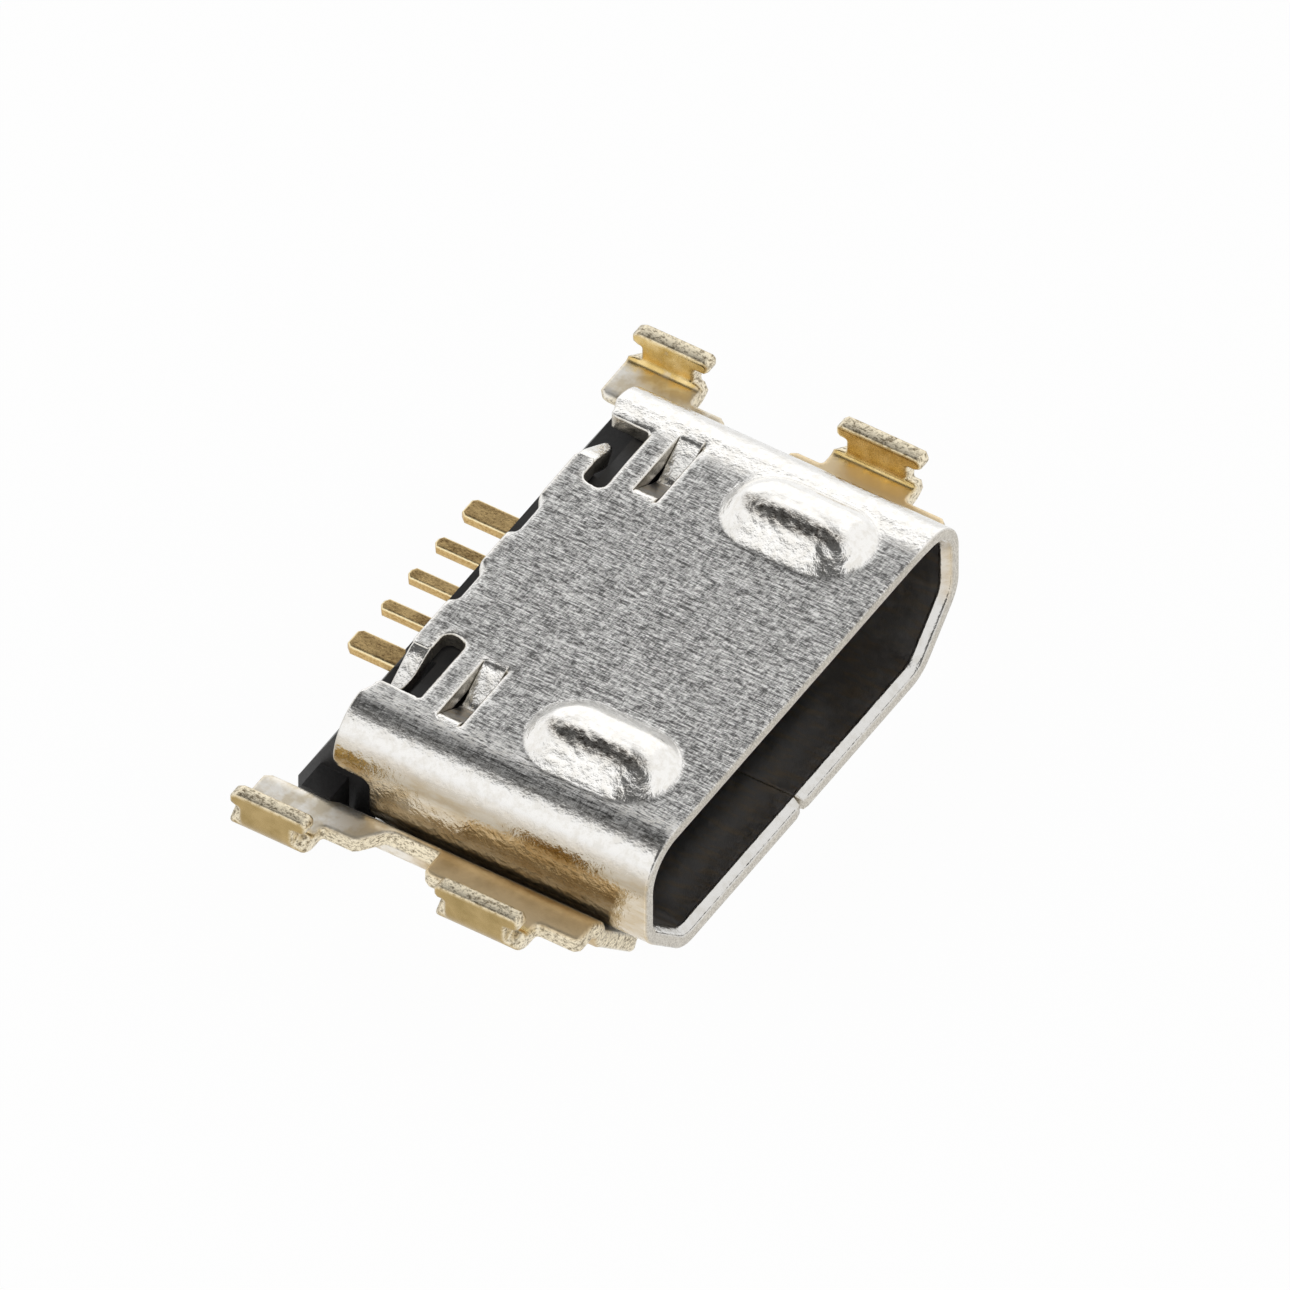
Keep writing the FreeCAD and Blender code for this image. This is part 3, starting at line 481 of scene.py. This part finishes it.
def frame_field(across, along):
    """Outline of the unrolled leg frame: floor with walls, the two flanges on each side and their four legs."""
    side = np.abs(across)
    floor = without(box_field(side, along, -WALL_END, WALL_END, FRAME_FRONT, FRAME_REAR, 0.05),
                    box_field(side, along, -FAR, FLOOR_EDGE, -FAR, 1.05, 0.12), 0.06)
    front = box_field(side, along, WALL_END - 0.4, FLANGE_END, FRAME_FRONT, 2.96, 0.1)
    slant = (along - 3.68 - np.clip(side - WALL_END, -0.3, 0.5) * 0.8) / 1.2
    rear = np.minimum(box_field(side, along, WALL_END - 0.4, FLANGE_END, 3.5, 5.44, 0.08), slant)
    free = box_field(side, along, -FAR, FLANGE_FREE, FRAME_REAR, FAR, 0.05)
    field = joined(joined(floor, front, 0.1), without(rear, free, 0.03), 0.1)
    field = without(field, free, 0.02)
    first = leg_field(side, along, (1.2, 2.47), (1.41, 2.32), (1.23, 2.5))
    second = leg_field(side, along, (4.41, 5.55), (4.62, 5.41), (4.47, 5.6))
    return joined(joined(field, first, 0.12), second, 0.12)


def build_leg_frame(material):
    """Stamped frame folded round the shell's lower half."""
    place = along_line(FRAME_LINE, even(SHEET / 2))
    end = FRAME_HALF + 0.06
    bend = arc_at(across=3.3)
    across = steps((-end, -bend, 0.04), (-bend, bend, 0.15), (bend, end, 0.04))
    along = steps((0.52, 1.2, 0.06), (1.2, 5.68, 0.045))
    surface = sheet_surface(frame_field, place, across, along, even(SHEET), 0.05)
    new_piece("stamped_leg_frame", [surface], material, "frame_metal", "leg_frame")


# Contacts

PITCH = 0.65
TAIL_HALF = 0.11
TAIL_WIDER = 0.14
BLADE_HALF = 0.16
TAIL_END = 5.94


def build_contact(number, material):
    """Flat strip from the tongue to its solder tail; the end strips' tails are wider outwards."""
    middle = (number - 2) * PITCH
    left = middle - TAIL_HALF - (TAIL_WIDER if number == 0 else 0)
    right = middle + TAIL_HALF + (TAIL_WIDER if number == 4 else 0)

    def field(across, along):
        """Blade and tail, joined."""
        blade = box_field(across, along, middle - BLADE_HALF, middle + BLADE_HALF, 0.95, 3.4, 0.02)
        return joined(blade, box_field(across, along, left, right, 3.0, TAIL_END, 0.02), 0.05)

    def place(across, along, depth):
        """Flat strip with its top at the board's level."""
        return np.stack([across, along, BOARD - depth], -1)

    lines = steps((left - 0.1, right + 0.1, 0.035))
    surface = sheet_surface(field, place, lines, steps((0.88, 4.3, 0.1), (4.3, 6.0, 0.045)), even(STRIP), 0.036)
    new_piece(f"gold_contact_{number + 1}", [surface], material, "contact_gold", f"contact_{number + 1}")


# Moulding

def build_insulator(material):
    """The solid's own mesh, copied, its loose triangles merged and its flat faces made whole, with small round
    edges."""
    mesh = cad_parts["insulator"].data.copy()
    mesh.materials.clear()
    mesh.materials.append(material)
    grid = bmesh.new()
    grid.from_mesh(mesh)
    bmesh.ops.remove_doubles(grid, verts=grid.verts, dist=1e-7)
    bmesh.ops.dissolve_limit(grid, angle_limit=0.01, verts=grid.verts, edges=grid.edges)
    grid.to_mesh(mesh)
    grid.free()
    mesh.shade_smooth()
    piece = in_scene("black_moulding", mesh)
    rounding = piece.modifiers.new("round edges", "BEVEL")
    rounding.width = 0.02 * MM
    rounding.segments = 2
    rounding.limit_method = "ANGLE"
    rounding.angle_limit = 0.5
    rounding.harden_normals = True
    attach(piece, "root")
    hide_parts("insulator")


# Finishes

RELIEF = 0.01 * MM  # depth of a finish's grain


def fill(tree, socket, value):
    """Puts a number into a socket, or joins another socket to it."""
    if isinstance(value, (int, float)):
        socket.default_value = value
    else:
        tree.links.new(value, socket)


def maths(tree, kind, *values):
    """Arithmetic of sockets and numbers in a node tree."""
    made = tree.nodes.new("ShaderNodeMath")
    made.operation = kind
    for socket, value in zip(made.inputs, values):
        fill(tree, socket, value)
    return made.outputs["Value"]


class Finish:
    """Node material with short helpers for its tree."""

    def __init__(self, name, base_color, metallic, roughness):
        self.material = bpy.data.materials.new(name)
        self.material.use_nodes = True
        self.tree = self.material.node_tree
        self.shader = self.tree.nodes["Principled BSDF"]
        self.shader.inputs["Base Color"].default_value = (*base_color, 1)
        self.shader.inputs["Metallic"].default_value = metallic
        self.shader.inputs["Roughness"].default_value = roughness
        self.place = self.node("ShaderNodeTexCoord").outputs["Object"]

    def node(self, kind, **settings):
        """New node with its properties set."""
        made = self.tree.nodes.new(kind)
        for key, value in settings.items():
            setattr(made, key, value)
        return made

    def link(self, source, target):
        """Joins two sockets."""
        self.tree.links.new(source, target)

    def noise(self, scales, detail, rough):
        """Noise at a scale per metre on each axis."""
        mapping = self.node("ShaderNodeMapping")
        mapping.inputs["Scale"].default_value = scales
        self.link(self.place, mapping.inputs["Vector"])
        texture = self.node("ShaderNodeTexNoise")
        texture.inputs["Scale"].default_value = 1.0
        texture.inputs["Detail"].default_value = detail
        texture.inputs["Roughness"].default_value = rough
        self.link(mapping.outputs["Vector"], texture.inputs["Vector"])
        return texture.outputs["Fac"]

    def ramp(self, source, low, high, low_value=0, high_value=1):
        """Value that goes from one level to another as the source rises from low to high."""
        made = self.node("ShaderNodeMapRange")
        for key, value in zip(("From Min", "From Max", "To Min", "To Max"), (low, high, low_value, high_value)):
            made.inputs[key].default_value = value
        self.link(source, made.inputs["Value"])
        return made.outputs["Result"]

    def reach(self, source, low, high, low_value=0, high_value=1):
        """Ramp over a stretch of a coordinate that is given in millimetres."""
        return self.ramp(source, low * MM, high * MM, low_value, high_value)

    def band(self, source, start, whole, fade, end):
        """Share that rises over one stretch of a coordinate and falls over the next, in millimetres."""
        return self.times(self.reach(source, start, whole), self.reach(source, fade, end, 1, 0))

    def plus(self, first, second):
        """Sum of two sockets, or of a socket and a number."""
        return maths(self.tree, "ADD", first, second)

    def times(self, first, second):
        """Product of two sockets, or of a socket and a number."""
        return maths(self.tree, "MULTIPLY", first, second)

    def tint(self, share, low_color, high_color):
        """Colour between two, by a share."""
        made = self.node("ShaderNodeMix", data_type="RGBA")
        made.inputs[6].default_value = (*low_color, 1)
        made.inputs[7].default_value = (*high_color, 1)
        self.link(share, made.inputs[0])
        return made.outputs[2]

    def blend(self, share, first, second):
        """Colour socket that goes from one to another by a share."""
        made = self.node("ShaderNodeMix", data_type="RGBA")
        self.link(share, made.inputs[0])
        self.link(first, made.inputs[6])
        self.link(second, made.inputs[7])
        return made.outputs[2]

    def between(self, share, first, second):
        """Value that goes from one socket or number to another by a share."""
        made = self.node("ShaderNodeMix", data_type="FLOAT")
        self.link(share, made.inputs[0])
        fill(self.tree, made.inputs[2], first)
        fill(self.tree, made.inputs[3], second)
        return made.outputs[0]

    def scaled(self, colour, value):
        """Colour times a value."""
        made = self.node("ShaderNodeVectorMath", operation="SCALE")
        self.link(colour, made.inputs["Vector"])
        self.link(value, made.inputs["Scale"])
        return made.outputs["Vector"]

    def mark(self, name):
        """Share that the mesh carries at its points."""
        return self.node("ShaderNodeAttribute", attribute_name=name).outputs["Fac"]

    def axes(self):
        """Object coordinates along X, Y and Z."""
        made = self.node("ShaderNodeSeparateXYZ")
        self.link(self.place, made.inputs["Vector"])
        return made.outputs["X"], made.outputs["Y"], made.outputs["Z"]

    def coat(self, colour, roughness):
        """Gives the shader its colour and roughness."""
        self.link(colour, self.shader.inputs["Base Color"])
        self.link(roughness, self.shader.inputs["Roughness"])

    def relief(self, height, strength):
        """Bump from a height."""
        made = self.node("ShaderNodeBump")
        made.inputs["Strength"].default_value = strength
        made.inputs["Distance"].default_value = RELIEF
        self.link(height, made.inputs["Height"])
        self.link(made.outputs["Normal"], self.shader.inputs["Normal"])


def rolled_grain(finish, threads):
    """Grain of the rolled top: streaks, threads and cross marks mixed by shares, with long lines over them."""
    streaks = finish.noise((26000, 6000, 26000), 4, 0.8)
    cross = finish.noise((7000, 42000, 7000), 3, 0.75)
    lines = finish.noise((64000, 1800, 64000), 2, 0.6)
    mixed = finish.plus(finish.times(streaks, 0.42), finish.times(threads, 0.33))
    mixed = finish.plus(mixed, finish.times(cross, 0.25))
    return finish.plus(mixed, finish.ramp(lines, 0.3, 0.7, -0.05, 0.05))


def formed_tone(finish, silver, painted_gold_reflection, painted_dark_reflection, peel, lean):
    """Tone of bends and bumps: silver, a painted reflection of the gold frame low on the walls, a painted dark
    reflection on the left side of the bumps' ridges and along a band on the left bend. Painted shade and highlight
    make it brighter or duller by the height on the bend."""
    across, _, up = finish.axes()
    out = maths(finish.tree, "ABSOLUTE", across)
    # painted reflection of the gold leg frame on the shell's low walls
    wall_foot_reflection = finish.times(finish.reach(up, 2.38, 2.14), finish.reach(out, 3.4, 3.6))
    # painted dark reflection on the left flank of the bumps' ridges
    ridge = finish.times(finish.reach(up, 2.87, 2.92), finish.reach(lean, -0.1, 0, 1, 0))
    ridge = finish.times(ridge, finish.ramp(peel, 0.4, 0.52, 0.45, 1))
    scratches = finish.noise((36000, 4500, 36000), 3, 0.7)
    # painted dark reflection in a streaked band along the top of the left bend
    left_bend_dark_band = finish.times(finish.band(across, -3.45, -3.36, -3.22, -3.08), finish.reach(up, 2.4, 2.46))
    left_bend_dark_band = finish.times(left_bend_dark_band, finish.ramp(scratches, 0.42, 0.56, 0.75, 0))
    tone = finish.blend(ridge, finish.blend(wall_foot_reflection, silver, painted_gold_reflection), painted_dark_reflection)
    tone = finish.blend(left_bend_dark_band, tone, painted_dark_reflection)
    # painted shade part way down the bend and painted highlight near its top, by height
    level = finish.times(finish.reach(up, 2.1, 2.42, 0.58, 0.86), finish.reach(up, 1.93, 2.06, 1.35, 1))
    level = finish.times(level, finish.reach(up, 2.52, 2.6, 1, 1.16))
    return finish.scaled(tone, level)


def nickel():
    """Rolled nickel: streaked and matt on the flat top, with bright dashes beside the left bend, bright with orange
    peel where it is formed, with painted reflections there, smooth inside with a brownish grey painted there as
    shade, grey on cut edges."""
    finish = Finish("rolled nickel", (0.66, 0.65, 0.63), 1.0, 0.3)
    across, back, up = finish.axes()
    bright = finish.mark("formed")
    cut = finish.mark("cut_edge")
    # inner side past the mouth, and the lances' right-facing slopes: a brownish grey is painted there as shade
    inside = finish.times(finish.ramp(finish.mark("inner_side"), 0.55, 0.75), finish.reach(back, -2.84, -2.8))
    bump_middle = finish.times(maths(finish.tree, "SIGN", across), BUMP_OUT * MM)
    lean = maths(finish.tree, "SUBTRACT", across, bump_middle)
    threads = finish.noise((56000, 15000, 56000), 3, 0.75)
    peel = finish.noise((8500, 8500, 8500), 3, 0.6)
    stretch = finish.noise((9000, 2600, 9000), 3, 0.6)
    chips = finish.noise((40000, 6000, 40000), 3, 0.7)
    grain = rolled_grain(finish, threads)

    silver = finish.tint(finish.ramp(peel, 0.36, 0.56), (0.84, 0.82, 0.78), (0.93, 0.92, 0.9))
    # painted reflection of the gold leg frame, for the shell's low walls
    painted_gold_reflection = finish.tint(finish.ramp(stretch, 0.38, 0.62), (0.78, 0.64, 0.44), (0.9, 0.8, 0.64))
    # painted dark reflection, for the bumps' ridges and the left bend
    painted_dark_reflection = finish.tint(finish.ramp(threads, 0.4, 0.58), (0.12, 0.1, 0.08), (0.8, 0.77, 0.72))
    edge_tone = finish.tint(finish.ramp(threads, 0.4, 0.6), (0.4, 0.37, 0.32), (0.7, 0.66, 0.58))
    painted_inner_shade = finish.tint(finish.ramp(stretch, 0.45, 0.65), (0.5, 0.49, 0.485), (0.6, 0.52, 0.42))
    flat_tone = finish.tint(finish.ramp(grain, 0.44, 0.585), (0.13, 0.128, 0.126), (1.0, 0.995, 0.98))
    dashes = finish.times(finish.band(across, -3.22, -3.12, -2.98, -2.8), finish.ramp(chips, 0.46, 0.54))
    flat_tone = finish.blend(dashes, flat_tone, silver)
    tone = finish.blend(bright, flat_tone, formed_tone(finish, silver, painted_gold_reflection, painted_dark_reflection, peel, lean))
    # the inner side takes the painted shade
    tone = finish.blend(inside, finish.blend(cut, tone, edge_tone), painted_inner_shade)

    roughness = finish.between(bright, finish.ramp(grain, 0.4, 0.6, 0.3, 0.4), finish.ramp(peel, 0.3, 0.7, 0.12, 0.2))
    roughness = finish.plus(roughness, finish.times(cut, 0.15))
    finish.coat(tone, finish.between(inside, roughness, finish.ramp(peel, 0.3, 0.7, 0.28, 0.36)))

    peel_depth = finish.between(finish.reach(up, 2.67, 2.7), 3.2, finish.reach(lean, -0.1, 0.1, 2.6, 0.5))
    height = finish.between(bright, finish.times(grain, 1.4), finish.times(peel, peel_depth))
    finish.relief(finish.between(inside, height, finish.times(peel, 0.3)), 0.5)
    return finish.material


def frame_gold():
    """Gold plating of the leg frame: a painted silver highlight on the walls, gold on the front flanges with painted
    shade near the shell, a painted cream highlight on the rear flanges, deep gold on the legs with painted shade on
    their faces away from the shell, torn brown and cream on cuts."""
    finish = Finish("leg frame gold", (0.7, 0.55, 0.3), 1.0, 0.25)
    across, back, _ = finish.axes()
    grain = finish.noise((30000, 30000, 30000), 3, 0.65)
    tears = finish.noise((21000, 15000, 30000), 4, 0.75)
    cloud = finish.noise((3500, 3500, 3500), 3, 0.6)
    cut = finish.mark("cut_edge")
    out = maths(finish.tree, "ABSOLUTE", across)
    uneven_out = finish.plus(out, finish.ramp(cloud, 0.3, 0.7, -0.1 * MM, 0.1 * MM))
    leg = finish.reach(uneven_out, 4.52, 4.64)
    shade = finish.ramp(cloud, 0.35, 0.65)

    # painted highlight: the gold walls are given a silver white
    painted_wall_highlight = finish.tint(cloud, (0.8, 0.78, 0.73), (0.9, 0.88, 0.83))
    # gold, with painted shade darkening it towards the shell
    front_gold_and_shade = finish.tint(finish.reach(uneven_out, 3.9, 4.3), (0.46, 0.34, 0.18), (0.86, 0.7, 0.46))
    # painted highlight: the gold rear flanges are given a cream white
    painted_rear_highlight = finish.tint(finish.ramp(cloud, 0.4, 0.6), (0.74, 0.66, 0.52), (0.95, 0.92, 0.86))
    # painted shade: the legs' faces away from the shell are given a darker copy of the gold
    lit_leg_gold = finish.tint(shade, (0.6, 0.41, 0.12), (0.85, 0.66, 0.33))
    shaded_leg_gold = finish.tint(shade, (0.36, 0.255, 0.1), (0.47, 0.34, 0.15))
    edge_tone = finish.tint(finish.ramp(tears, 0.37, 0.54), (0.24, 0.19, 0.12), (0.92, 0.83, 0.64))
    flange_tone = finish.blend(finish.reach(back, 0.1, 0.6), front_gold_and_shade, painted_rear_highlight)
    tone = finish.blend(finish.reach(out, 3.85, 3.95), painted_wall_highlight, flange_tone)
    tone = finish.blend(leg, tone, finish.blend(finish.mark("inner_side"), lit_leg_gold, shaded_leg_gold))

    roughness = finish.between(leg, finish.ramp(grain, 0.3, 0.7, 0.34, 0.46), finish.ramp(grain, 0.3, 0.7, 0.2, 0.32))
    finish.coat(finish.blend(cut, tone, edge_tone), finish.plus(roughness, finish.times(cut, 0.1)))
    finish.relief(finish.plus(finish.times(grain, 0.5), finish.times(finish.times(tears, cut), 1.1)), 0.4)
    return finish.material


def contact_gold():
    """Gold plating with fine grain, painted dark brown on the top as shade, yellower on the sides, with a painted
    highlight on the round edges.
    """
    finish = Finish("contact gold", (0.6, 0.45, 0.22), 1.0, 0.28)
    grain = finish.noise((36000, 24000, 36000), 4, 0.7)
    cloud = finish.noise((5200, 3000, 5200), 3, 0.6)
    cut = finish.mark("cut_edge")
    shade = finish.plus(finish.times(grain, 0.55), finish.times(cloud, 0.45))
    # painted shade: the top is given a dark brown
    tone = finish.tint(finish.ramp(shade, 0.38, 0.6), (0.2, 0.125, 0.05), (0.6, 0.43, 0.2))
    # painted highlight on the rounded edges
    edge_tone = finish.tint(finish.ramp(grain, 0.3, 0.6), (0.86, 0.66, 0.34), (1.0, 0.88, 0.58))
    side_tone = finish.tint(finish.ramp(grain, 0.35, 0.65), (0.42, 0.26, 0.09), (0.74, 0.53, 0.24))
    rim_highlight_and_side = finish.blend(finish.ramp(cut, 0.5, 0.98), edge_tone, side_tone)
    finish.coat(finish.blend(finish.ramp(cut, 0, 0.25), tone, rim_highlight_and_side), finish.ramp(grain, 0.3, 0.7, 0.22, 0.42))
    finish.relief(grain, 0.4)
    return finish.material


def moulded_black():
    """Satin black moulding with a fine texture."""
    finish = Finish("moulded black", (0.02, 0.02, 0.021), 0.0, 0.45)
    grain = finish.noise((24000, 24000, 24000), 3, 0.6)
    tone = finish.tint(grain, (0.01, 0.01, 0.0105), (0.026, 0.025, 0.026))
    finish.coat(tone, finish.ramp(grain, 0.3, 0.7, 0.38, 0.55))
    finish.relief(grain, 0.35)
    return finish.material


# Studio, in metres

def build_floor():
    """White floor that keeps the port's shadow: matt, and mixed with plain white for what the camera, gloss and glass
    see of it."""
    half = 0.6
    white_share = 0.96
    mesh = bpy.data.meshes.new("floor")
    mesh.from_pydata([(-half, -half, 0), (half, -half, 0), (half, half, 0), (-half, half, 0)], [], [(0, 1, 2, 3)])
    floor = in_scene("floor", mesh)
    material = bpy.data.materials.new("white floor")
    material.use_nodes = True
    tree = material.node_tree
    tree.nodes.clear()
    output = tree.nodes.new("ShaderNodeOutputMaterial")
    mix = tree.nodes.new("ShaderNodeMixShader")
    matt = tree.nodes.new("ShaderNodeBsdfDiffuse")
    matt.inputs["Color"].default_value = (0.95, 0.95, 0.95, 1)
    white = tree.nodes.new("ShaderNodeEmission")
    path = tree.nodes.new("ShaderNodeLightPath")
    seen = maths(tree, "MAXIMUM", path.outputs["Is Camera Ray"], path.outputs["Is Glossy Ray"])
    seen = maths(tree, "MAXIMUM", seen, path.outputs["Is Transmission Ray"])
    tree.links.new(maths(tree, "MULTIPLY", seen, white_share), mix.inputs["Fac"])
    tree.links.new(matt.outputs[0], mix.inputs[1])
    tree.links.new(white.outputs[0], mix.inputs[2])
    tree.links.new(mix.outputs[0], output.inputs["Surface"])
    mesh.materials.append(material)


def build_lights():
    """Even light of a white room, darker in two patches overhead, and a soft box on either side."""
    world = bpy.data.worlds.new("studio room")
    bpy.context.scene.world = world
    world.use_nodes = True
    tree = world.node_tree
    room = tree.nodes["Background"]
    room.inputs["Color"].default_value = (1, 0.995, 0.985, 1)
    towards = tree.nodes.new("ShaderNodeTexCoord")
    unit = tree.nodes.new("ShaderNodeVectorMath")
    unit.operation = "NORMALIZE"
    tree.links.new(towards.outputs["Generated"], unit.inputs[0])
    over_rear = dark_patch(tree, unit.outputs[0], (0.17, 0.37, 0.91), 0.79, 0.98)
    over_mouth = dark_patch(tree, unit.outputs[0], (-0.13, -0.2, 0.97), 0.87, 0.975)
    tree.links.new(maths(tree, "MINIMUM", over_rear, over_mouth), room.inputs["Strength"])
    soft_box("left box", (-0.78, 0.3, 0.55), 0.15)
    soft_box("right box", (0.8, 0.37, 0.45), 0.2)


def dark_patch(tree, direction, towards, edge, core):
    """Strength of the room's light that falls from 1 to 0.1 as the view turns to a direction overhead, by cosines."""
    facing_it = tree.nodes.new("ShaderNodeVectorMath")
    facing_it.operation = "DOT_PRODUCT"
    facing_it.inputs[1].default_value = np.array(towards) / np.linalg.norm(towards)
    fade = tree.nodes.new("ShaderNodeMapRange")
    fade.interpolation_type = "SMOOTHSTEP"
    for key, value in zip(("From Min", "From Max", "To Min", "To Max"), (edge, core, 1.0, 0.1)):
        fade.inputs[key].default_value = value
    tree.links.new(direction, facing_it.inputs[0])
    tree.links.new(facing_it.outputs["Value"], fade.inputs["Value"])
    return fade.outputs[0]


def soft_box(name, towards, level):
    """Square lamp that faces the port from a direction; its power is level times pi times its area."""
    size, distance = 0.16, 0.16
    lamp = bpy.data.lights.new(name, "AREA")
    lamp.shape = "SQUARE"
    lamp.size = size
    lamp.energy = level * np.pi * size * size
    aim = np.array(towards) / np.linalg.norm(towards)
    in_scene(name, lamp).matrix_world = facing(aim * distance, aim)


def facing(place, back):
    """Matrix of a camera or lamp at a place that looks against a direction, with its X level."""
    depth = Vector(back).normalized()
    right = Vector((0, 0, 1)).cross(depth).normalized()
    up = depth.cross(right)
    return Matrix.Translation(Vector(place)) @ Matrix((right, up, depth)).transposed().to_4x4()


def build_camera():
    """Level view without perspective from 57.8 degrees left of the mouth and 46.1 degrees up. It looks past the
    port's middle by as much as the photo has it off the picture's middle."""
    turn, rise = np.radians([-57.8, 46.1])
    picture_width, distance = 0.016475, 0.2
    back = np.array([np.sin(turn) * np.cos(rise), -np.cos(turn) * np.cos(rise), np.sin(rise)])
    right = np.array([np.cos(turn), np.sin(turn), 0])
    up = np.cross(back, right)
    look_at = np.array([0, -0.27, 1.45]) + 0.2656 * right + 0.3129 * up
    lens = bpy.data.cameras.new("photo view")
    lens.type = "ORTHO"
    lens.ortho_scale = picture_width
    lens.clip_start = 0.001
    lens.clip_end = 5
    camera = in_scene("photo view", lens)
    camera.matrix_world = facing(look_at * MM + back * distance, back)
    bpy.context.scene.camera = camera


build_camera()
build_floor()
build_lights()
shell_finish = nickel()
frame_finish = frame_gold()
contact_finish = contact_gold()
black = moulded_black()
build_shell(shell_finish)
build_leg_frame(frame_finish)
for strip in range(5):
    build_contact(strip, contact_finish)
build_insulator(black)

scene = bpy.context.scene
scene.view_settings.view_transform = "Standard"
bpy.context.view_layer.update()
